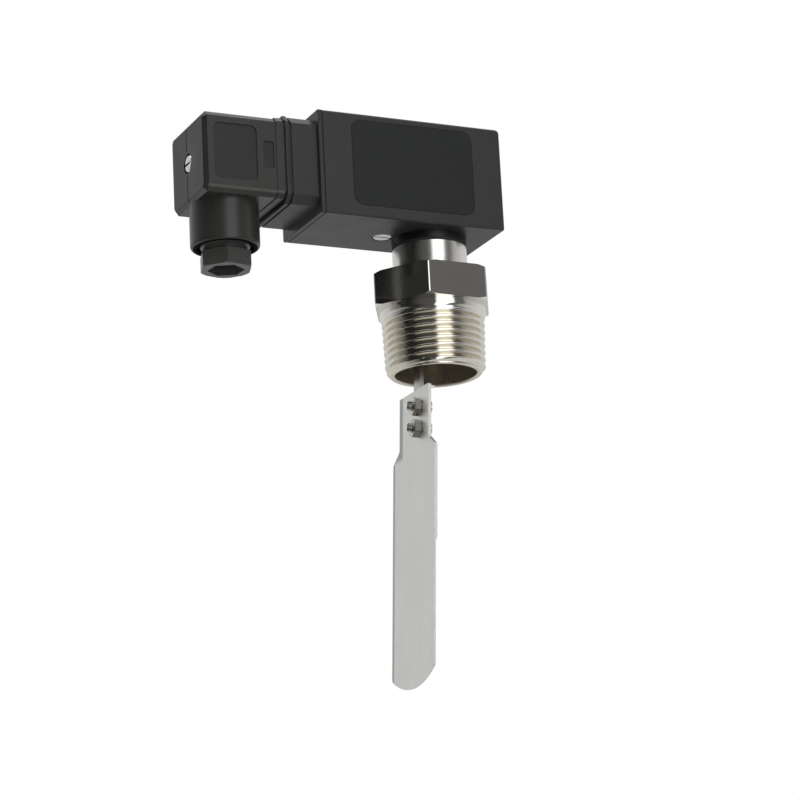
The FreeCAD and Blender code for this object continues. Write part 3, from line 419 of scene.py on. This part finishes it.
def film(name):
    """The bare label: a printed black film, smoother than the moulding round it, with a faint lay of the print rollers."""
    m, t, p = new_material(name)
    co = t.coords()
    clouds = t.noise(co, 70.0, 4.0, 0.6, 0.3)
    peel = t.noise(co, 700.0, 3.0, 0.6)
    lay = t.noise(t.stretch(co, (0.08, 1.0, 1.0)), 1800.0, 3.0, 0.7)
    fine = t.noise(co, 5200.0, 2.0, 0.6)
    e = t.edge(0.00015, 0.05, 0.35)
    dust = t.span(t.noise(co, 2600.0, 3.0, 0.8), 0.70, 0.76, 0.0, 0.5)
    col = t.mix(clouds, (0.0120, 0.0136, 0.0134), (0.0144, 0.0160, 0.0157))
    col = t.mix(t.math("MULTIPLY", dust, 0.3), col, (0.07, 0.07, 0.068))
    col = t.mix(t.math("MULTIPLY", e, 0.4), col, (0.05, 0.05, 0.05))
    set_(t, p, "Base Color", col)
    set_(t, p, "Roughness", t.math("ADD", t.span(lay, 0.3, 0.7, 0.36, 0.44), t.span(fine, 0.3, 0.7, -0.02, 0.03)))
    p.inputs["Specular IOR Level"].default_value = 0.31
    set_(t, p, "Normal", t.bump(lay, 0.2, 0.000004, t.bump(peel, 0.18, 0.00001)))
    return m


def blade_steel(name, base=(0.890, 0.898, 0.860), rough=0.42):
    """Cold-rolled stainless sheet: short grain along its length, a dull even face and brighter sheared edges."""
    m, t, p = new_material(name)
    co = t.coords()
    tilt = (0.0, math.radians(-3.4), 0.0)
    grain = t.noise(t.stretch(co, (1.0, 1.0, 0.10), rot=tilt), 3600.0, 4.0, 0.75)
    broad = t.noise(t.stretch(co, (1.0, 1.0, 0.25), rot=tilt), 160.0, 4.0, 0.6, 0.3)
    pits = t.span(t.noise(co, 2600.0, 3.0, 0.75), 0.66, 0.78, 0.0, 1.0)
    scr = t.span(t.noise(t.stretch(co, (1.0, 1.0, 0.05), rot=(0.10, math.radians(-3.4), 0.0)), 1100.0, 5.0, 0.8), 0.68, 0.74, 0.0, 1.0)
    e = t.edge(0.00012, 0.05, 0.35)
    col = t.mix(t.span(broad, 0.35, 0.7, 0.0, 0.6), base, tuple(c * 0.93 for c in base))
    col = t.mix(t.span(grain, 0.35, 0.75, 0.0, 0.25), col, tuple(c * 0.82 for c in base))
    col = t.mix(t.math("MULTIPLY", pits, 0.25), col, tuple(c * 0.6 for c in base))
    col = t.mix(t.math("MULTIPLY", e, 0.5), col, tuple(min(1, c * 1.25) for c in base))
    # painted dark reflection: a dark band along one long edge and along the edge of the neck
    x, y, z = t.xyz(co)
    wob = t.math("MULTIPLY", t.noise(co, 300.0, 3.0, 0.6), 0.0003)
    yy = t.math("ADD", y, wob)
    neck = t.math("MULTIPLY", t.span(z, -0.0375, -0.0362, 0.0, 1.0), t.span(yy, 0.0084, 0.0088, 0.0, 1.0))
    wide = t.span(yy, 0.0142, 0.0147, 0.0, 1.0)
    painted_blade_edge_shade = t.math("MAXIMUM", neck, wide)
    col = t.mix(t.math("MULTIPLY", painted_blade_edge_shade, 0.62), col, tuple(c * 0.30 for c in base))
    set_(t, p, "Base Color", col)
    p.inputs["Metallic"].default_value = 1.0
    r = t.span(grain, 0.3, 0.75, rough - 0.05, rough + 0.08)
    r = t.math("SUBTRACT", r, t.math("MULTIPLY", scr, 0.12))
    set_(t, p, "Roughness", r)
    set_(t, p, "Normal", t.bump(grain, 0.35, 0.000005, t.bump(scr, 0.3, 0.000006)))
    return m


M = {
    "nickel": nickel_thread("nickel_thread"),
    "nickel_hex": nickel_polished("nickel_polished"),
    "nickel_neck": nickel_neck("nickel_neck"),
    "rubber": rubber("black_rubber"),
    "gasket": rubber("profile_rubber", (0.024, 0.024, 0.0235), 0.42),
    "spring": metal("spring_steel", (0.50, 0.50, 0.51), 0.25),
    "steel": metal("dull_stainless", (0.60, 0.59, 0.57), 0.30, lines=(1.0, 1.0, 0.1), line_d=0.000006),
    "blade": blade_steel("blade_stainless"),
    "fastener": metal("bright_stainless", (0.78, 0.77, 0.74), 0.14, grit_d=0.000003, spots=0.2),
    "nut": metal("nut_stainless", (0.66, 0.63, 0.585), 0.085, tint=(0.42, 0.39, 0.35), grit_d=0.000003, wear=0.9, spots=0.55),
    "brass": metal("turned_brass", (0.78, 0.58, 0.27), 0.22),
    "bronze": metal("tin_bronze", (0.62, 0.40, 0.20), 0.28, lines=(1.0, 1.0, 0.2)),
    # housing and cap: painted shade darkens their edges
    "housing": plastic("housing_plastic", (0.0305, 0.0305, 0.031), (0.07, 0.07, 0.069), rough=0.36, spec=0.38, wear=0.12, painted_edge_shade=0.75, cloud=0.08, low=0.0357),
    "cap": plastic("cap_plastic", (0.0305, 0.0303, 0.0297), (0.07, 0.069, 0.066), rough=0.38, spec=0.38, wear=0.15, painted_edge_shade=0.6, cloud=0.08),
    # plug: painted shade on its end face and in the gland mouth, a painted highlight along its lower edge
    "plug": plastic("plug_plastic", (0.0300, 0.0298, 0.0278), (0.105, 0.103, 0.095), rough=0.30, spec=0.42, wear=0.55, cloud=0.14, panel=(0.01406, 0.01422, -0.0806, -0.0597, 0.0443, 0.0633)),
    "gland": plastic("gland_plastic", (0.052, 0.052, 0.0495), (0.10, 0.098, 0.090), rough=0.30, spec=0.45, wear=0.6),
    "insert": plastic("insert_plastic", (0.085, 0.085, 0.09), (0.16, 0.16, 0.16), rough=0.5),
    "switch": plastic("switch_plastic", (0.10, 0.10, 0.105), (0.18, 0.18, 0.18), rough=0.45),
    "red": plastic("plunger_plastic", (0.50, 0.055, 0.035), (0.6, 0.2, 0.15), rough=0.35),
    "label": film("label_film"),
    "tin": metal("tinned_brass", (0.72, 0.71, 0.68), 0.24, lines=(0.2, 1.0, 1.0)),
    "zinc": metal("zinc_plate", (0.74, 0.75, 0.77), 0.20, tint=(0.62, 0.64, 0.68)),
    "blue": plastic("wire_blue", (0.05, 0.09, 0.32), (0.12, 0.16, 0.40), rough=0.4, wear=0.1),
    "green": plastic("wire_green", (0.22, 0.40, 0.05), (0.3, 0.5, 0.1), rough=0.4, wear=0.1),
}

BY_SLOT = {
    "nickel_brass": "nickel", "black_rubber": "rubber", "spring_steel": "spring", "stainless": "steel",
    "stainless_blade": "blade", "stainless_fastener": "fastener", "brass": "brass", "bronze": "bronze",
    "black_housing": "housing", "black_plug": "plug", "insert_plastic": "insert", "switch_plastic": "switch",
    "plunger_plastic": "red", "label_black": "label", "tinned_contact": "tin", "zinc_steel": "zinc",
    "wire_blue": "blue", "wire_green": "green",
}
SLOT_OF = {}
for s in frame["record"].get("subparts", []):
    nm = s["node"]
    SLOT_OF[nm] = s.get("material_slot")


def wear_material(obj, mat):
    obj.data.materials.clear()
    obj.data.materials.append(mat)


for name, o in NODES.items():
    slot = SLOT_OF.get(name)
    key = BY_SLOT.get(slot)
    if key is None:
        raise RuntimeError("no material for " + name + " " + repr(slot))
    wear_material(o, M[key])
wear_material(NODES["profile_gasket"], M["gasket"])
wear_material(NODES["end_cap"], M["cap"])
wear_material(NODES["gland_nut"], M["gland"])


# =====================================================================
# mesh helpers
# =====================================================================
def sharpen(me, degrees):
    """Smooth faces, with edges sharper than this left hard."""
    bm = bmesh.new()
    bm.from_mesh(me)
    bmesh.ops.recalc_face_normals(bm, faces=bm.faces)
    lim = math.radians(degrees)
    for f in bm.faces:
        f.smooth = True
    for e in bm.edges:
        e.smooth = not (len(e.link_faces) == 2 and e.calc_face_angle(0.0) > lim)
    bm.to_mesh(me)
    bm.free()


def mesh_object(name, verts, faces, mat, body, sharp=35.0, index=None):
    me = bpy.data.meshes.new(name)
    me.from_pydata([tuple(v) for v in verts], [], [tuple(f) for f in faces])
    for mm in (mat if isinstance(mat, (list, tuple)) else [mat]):
        me.materials.append(mm)
    if index is not None:
        me.polygons.foreach_set("material_index", np.asarray(index, np.int32))
    me.validate()
    me.update()
    sharpen(me, sharp)
    o = bpy.data.objects.new(name, me)
    bpy.context.scene.collection.objects.link(o)
    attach(o, body)
    return o


# =====================================================================
# process nipple with its helical R1 thread
# =====================================================================
def nipple():
    gauge, pitch, z_end = 16.62, 2.309, -10.4
    z_col, r_col, z_a, z_b, af, rot = 8.35, 17.35, 11.35, 22.75, 36.2, 2.0
    neck, neck2, z_step, top, bore, mid, btop, zp = 12.2, 11.4, 32.2, 41.0, 13.25, 9.2, 9.9, 33.6
    # columns: every 1.5 degrees, with more across the rounded hexagon edges
    th = []
    for k in range(6):
        c = rot + 60.0 * k
        th += [c - 0.5, c - 0.22, c - 0.1, c, c + 0.1, c + 0.22, c + 0.5]
        th += [c + 1.5 * j for j in range(1, 40)]
    th = np.radians(np.array(sorted(th)))
    n = len(th)

    def hexr(t):
        a = (np.degrees(t) - rot + 30.0) % 60.0 - 30.0  # 0 on an edge of the hexagon
        rv, rho = af / 2 / math.cos(math.radians(30)), 0.08
        flat = (af / 2) / np.cos(np.radians(30.0 - np.abs(a)))
        d = rv - rho / math.cos(math.radians(30))
        ar = np.radians(np.clip(np.abs(a), 0, 3))
        arc = d * np.cos(ar) + np.sqrt(np.maximum(rho * rho - (d * np.sin(ar)) ** 2, 0))
        return np.minimum(flat, np.where(np.abs(a) < 3, arc, 99.0))

    H = math.radians(27.5)
    rr = 0.1373 * pitch
    full = 0.6403 * pitch

    def whit(u):
        """Depth below the crest, u = distance along the axis from the crest's middle, as a share of the pitch."""
        s = np.abs(u) * pitch
        sc = rr * math.cos(H)  # axial reach of each rounding
        d_arc = rr - np.sqrt(np.maximum(rr * rr - s * s, 0))
        d_c = rr - rr * math.sin(H)
        flank = d_c + (s - sc) / math.tan(H)
        s2 = pitch / 2 - s
        d_root = full - (rr - np.sqrt(np.maximum(rr * rr - s2 * s2, 0)))
        return np.where(s < sc, d_arc, np.where(s2 < sc, d_root, flank))

    rows = []  # each row: (r array, z array)
    one = np.ones(n)
    hx = hexr(th)
    rcone = af / 2 + 1.6
    slope = 1.732
    dip = np.maximum(hx - rcone, 0.0) / slope
    cap = np.minimum(hx, rcone)

    def row(r, z):
        rows.append((one * r, one * z))

    # inside, from the top down
    row(btop, top)
    row(btop, zp - 4.6)
    row(mid, zp - 4.6)
    row(mid, 16.2)
    row(mid + 0.45, 15.1)
    row(bore - 1.0, 12.2)
    row(bore - 0.25, 11.45)
    row(bore, 10.8)
    for z in np.linspace(9.0, -9.7, 12):
        row(bore, z)
    row(bore, z_end + 0.5)
    row(bore + 0.12, z_end + 0.22)
    row(bore + 0.35, z_end + 0.03)
    row(bore + 0.55, z_end)
    # end face and lead chamfer
    r_face = gauge - 1.95
    row(r_face - 0.12, z_end)
    row(r_face, z_end + 0.05)
    # thread
    m = int(round(pitch / 0.0924))
    zs = np.arange(z_end + 0.12, 8.02, pitch / m)
    phase = (-8.95 + 10.4) / pitch
    for z in zs:
        u = ((z - (-8.95)) / pitch - (th - PHASE) / (2 * math.pi) + 0.5) % 1.0 - 0.5
        fade = 1.0 - np.clip((z - 5.4) / 2.6, 0, 1) ** 2 * 0.86
        r = gauge + z / 32.0 - whit(u) * fade
        r = np.minimum(r, r_face + (z - z_end) * 1.05 + 0.02)
        rows.append((r, one * z))
    # relief, collar
    row(gauge + 0.10, 8.10)
    row(r_col - 0.62, z_col)
    row(r_col - 0.12, z_col + 0.52)
    row(r_col, z_col + 0.78)
    row(r_col, z_a - 0.12)
    row(r_col - 0.02, z_a)
    # hexagon with turned chamfers
    rows.append((cap, one * z_a))
    rows.append((hx, z_a + dip))
    rows.append((hx, z_b - dip))
    rows.append((cap, one * z_b))
    # neck
    row(neck + 0.35, z_b)
    row(neck + 0.08, z_b + 0.10)
    row(neck, z_b + 0.38)
    row(neck, 27.5)
    row(neck, z_step - 0.15)
    row(neck - 0.15, z_step)
    row(neck2, z_step)
    row(neck2, top - 0.4)
    row(neck2 - 0.4, top)
    nr = len(rows)
    ct, st = np.cos(th), np.sin(th)
    V = np.concatenate([np.stack([r * ct, r * st, z], 1) for r, z in rows]) * MM
    F, I = [], []
    hex_first = next(i for i, (r, z) in enumerate(rows) if abs(r[0] - (r_col - 0.62)) < 1e-6 and abs(z[0] - z_col) < 1e-6)
    hex_last = next(i for i, (r, z) in enumerate(rows) if abs(r[0] - (neck + 0.35)) < 1e-6)
    for j in range(nr):
        k = (j + 1) % nr
        for i in range(n):
            i2 = (i + 1) % n
            F.append((j * n + i, j * n + i2, k * n + i2, k * n + i))
            if j >= hex_last:
                I.append(2)
            elif j >= hex_first:
                I.append(1)
            else:
                I.append(0)
    o = mesh_object("nipple_threaded", V, F, [M["nickel"], M["nickel_hex"], M["nickel_neck"]], "switch_body", 30.0, I)
    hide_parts("process_nipple")
    return o


PHASE = math.radians(-115.0)
nipple()


# =====================================================================
# paddle fixings: chamfered M3 nuts and the threaded ends of the screws
# =====================================================================
TILT = math.radians(3.4)
PIV = Vector((0.0, 0.0, 0.0336))
FACE, SCREW_Y, SCREW_Z = -5.25, -3.3, (-56.5, -63.7)


def paddle_point(x, y, z):
    """A point of the tilted paddle frame, in millimetres, in the row frame in metres."""
    c, s = math.cos(TILT), math.sin(TILT)
    return PIV + Vector((x * c + z * s, y, -x * s + z * c)) * MM


def lathe(rows, n, centre_y, centre_z):
    """Rings about an axis along the paddle's X: rows of (x, radius or list of radii)."""
    V, F = [], []
    for x, r in rows:
        for i in range(n):
            a = 2 * math.pi * i / n
            rr = r[i] if isinstance(r, (list, tuple, np.ndarray)) else r
            xx = x[i] if isinstance(x, (list, tuple, np.ndarray)) else x
            V.append(paddle_point(xx, centre_y + rr * math.cos(a), centre_z + rr * math.sin(a)))
    for j in range(len(rows) - 1):
        for i in range(n):
            k = (i + 1) % n
            F.append((j * n + i, j * n + k, (j + 1) * n + k, (j + 1) * n + i))
    return V, F


def nuts():
    n = 144
    a = np.arange(n) * 2 * math.pi / n
    d = (np.degrees(a) - 0.0) % 60.0 - 30.0  # corners at 30 + 60 k degrees
    hx = (5.5 / 2) / np.cos(np.radians(30.0 - np.abs(d)))
    hx = np.minimum(hx, 3.12)
    x0, x1 = FACE - 2.4, FACE - 0.01
    dip = np.maximum(hx - 2.62, 0.0) * 0.55
    cap = np.minimum(hx, 2.62)
    V, F = [], []
    for zc in SCREW_Z:
        rows = [(x1, 1.53), (x1, cap), (x1 - dip, hx), (x0 + dip, hx), (x0, cap), (x0, 1.85), (x0 + 0.30, 1.53), (x1, 1.53)]
        v, f = lathe(rows, n, SCREW_Y, zc)
        m = n * (len(rows) - 1)
        f = [tuple((i if i < m else i - m) for i in q) for q in f]  # close the ring on itself
        v = v[:m]
        b = len(V)
        V += v
        F += [tuple(i + b for i in q) for q in f]
    o = mesh_object("paddle_nuts_cut", V, F, M["nut"], "paddle", 25.0)
    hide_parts("paddle_nuts")


def tips():
    """A helical thread wound on each screw's plain end."""
    n, turns, pitch = 40, 3.6, 0.5
    V, F = [], []
    for zc in SCREW_Z:
        m = int(n * turns)
        b = len(V)
        for i in range(m + 1):
            a = 2 * math.pi * i / n
            k = min(1.0, i / 12.0, (m - i) / 12.0)
            x = FACE - 4.25 + 0.17 + pitch * i / n
            for dx, rr in ((-0.15, 1.46), (-0.03, 1.47 + 0.13 * k), (0.03, 1.47 + 0.13 * k), (0.15, 1.46), (0.0, 1.40)):
                V.append(paddle_point(x + dx, SCREW_Y + rr * math.cos(a), zc + rr * math.sin(a)))
        w = 5
        for i in range(m):
            for j in range(w):
                k = (j + 1) % w
                F.append((b + i * w + j, b + i * w + k, b + (i + 1) * w + k, b + (i + 1) * w + j))
        F.append(tuple(b + j for j in range(w)))
        F.append(tuple(b + m * w + j for j in reversed(range(w))))
    mesh_object("paddle_screw_threads", V, F, M["nut"], "paddle", 25.0)


nuts()
tips()


def range_spring():
    """Wire coil with closed ends, built in two pieces: its lower turns and its upper turns."""
    cx, cy, zb, zt, zm = -15.75, 2.1, 35.85 + 4.4, 35.85 + 11.05, 35.85 + 6.7
    rc, rw, per, ring = 2.55, 0.25, 48, 16
    # turns of pitch: one closed turn at each end, open turns between them
    total, lift = 5.5, zt - zb - 2 * rw
    m = int(total * per)
    rings, split = [], 0
    for i in range(m + 1):
        u = i / per
        k = min(max((u - 0.75) / (total - 1.5), 0.0), 1.0)
        a = 2 * math.pi * u
        z = zb + rw + lift * k
        er = Vector((math.cos(a), math.sin(a), 0.0))
        if u < 0.75:
            z += 0.12 * u / 0.75
        elif u > total - 0.75:
            z -= 0.12 * (total - u) / 0.75
        else:
            z += 0.12 * (1.0 - 2.0 * k)
        if z < zm:
            split = i
        c = Vector((cx, cy, z)) + er * rc
        rings.append([(c + er * (rw * math.cos(2 * math.pi * j / ring)) + Vector((0.0, 0.0, rw * math.sin(2 * math.pi * j / ring)))) * MM
                      for j in range(ring)])
    for name, part, joint, keep in (
            ("range_spring_upper", rings[split:], "paddle_swing", 0.24),
            ("range_spring_lower", rings[:split + 1], "adjusting_screw_turn", 0.44)):
        V, F, n = [v for r in part for v in r], [], len(part) - 1
        for i in range(n):
            for j in range(ring):
                k = (j + 1) % ring
                F.append((i * ring + j, i * ring + k, (i + 1) * ring + k, (i + 1) * ring + j))
        F.append(tuple(reversed(range(ring))))
        F.append(tuple(n * ring + j for j in range(ring)))
        o = mesh_object(name, V, F, M["spring"], "switch_body", 40.0)
        if joint == "paddle_swing":
            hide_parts("range_spring")
        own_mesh(o)


range_spring()


# =====================================================================
# studio: floor, light
# =====================================================================
def studio():
    me = bpy.data.meshes.new("floor")
    s, z = 12.0, -1.30
    me.from_pydata([(-s, -s, z), (s, -s, z), (s, s, z), (-s, s, z)], [], [(0, 1, 2, 3)])
    floor = bpy.data.objects.new("floor", me)
    bpy.context.scene.collection.objects.link(floor)
    m, t, p = new_material("floor_pale")
    co = t.coords()
    set_(t, p, "Base Color", t.mix(t.noise(co, 6.0, 3.0), (0.80, 0.80, 0.795), (0.83, 0.83, 0.825)))
    set_(t, p, "Roughness", t.span(t.noise(co, 40.0, 3.0), 0.3, 0.7, 0.75, 0.9))
    me.materials.append(m)
    floor.visible_glossy = False

    w = bpy.data.worlds.new("studio")
    bpy.context.scene.world = w
    w.use_nodes = True
    t = Tree(w.node_tree)
    for nd in list(t.n):
        t.n.remove(nd)
    out = t.node("ShaderNodeOutputWorld")
    d = t.node("ShaderNodeTexCoord").outputs["Generated"]
    ca, sa = math.cos(CAM_AZ), math.sin(CAM_AZ)
    front = t.vec("DOT_PRODUCT", d, (sa, -ca, 0.0))
    right = t.vec("DOT_PRODUCT", d, (ca, sa, 0.0))
    up = t.xyz(d)[2]
    az = t.math("DIVIDE", t.math("ARCTAN2", right, front), math.pi)  # -1..1, 0 towards the camera
    pos = t.math("MULTIPLY_ADD", az, 0.5, 0.5)

    def at(deg):
        return deg / 360.0 + 0.5

    wall = t.ramp(pos, [
        (at(-180), 0.55), (at(-160), 0.72), (at(-148), 0.74), (at(-112), 0.64), (at(-95), 0.33), (at(-84), 0.20), (at(-73), 0.12), (at(-69.0), 0.017), (at(-65.24), 0.016),
        (at(-65.04), 0.028), (at(-62), 0.034), (at(-56), 0.018), (at(-46), 0.025), (at(-36), 0.05), (at(-24), 0.08), (at(6.0), 0.10), (at(12.0), 1.8), (at(42), 1.8), (at(50), 0.14),
        (at(68), 0.145), (at(78), 0.42), (at(95), 0.58), (at(120), 0.72), (at(160), 0.72), (at(180), 0.55)])
    el = t.math("ARCSINE", up)
    el = t.math("DIVIDE", el, math.pi / 2)  # -1..1
    lid = t.span(el, 0.42, 0.62, 0.0, 1.0, smooth=True)
    light = t.mix(lid, wall, (1.25, 1.25, 1.25))
    bg = t.node("ShaderNodeBackground")
    t.put(bg.inputs[0], light)
    bg.inputs[1].default_value = 1.0
    seen = t.node("ShaderNodeBackground")
    seen.inputs[0].default_value = (1.0, 1.0, 1.0, 1.0)
    seen.inputs[1].default_value = 1.0
    ray = t.node("ShaderNodeLightPath").outputs["Is Camera Ray"]
    mx = t.node("ShaderNodeMixShader")
    t.put(mx.inputs[0], ray)
    t.t.links.new(bg.outputs[0], mx.inputs[1])
    t.t.links.new(seen.outputs[0], mx.inputs[2])
    t.t.links.new(mx.outputs[0], out.inputs[0])
    bpy.context.scene.view_settings.view_transform = "Standard"


studio()
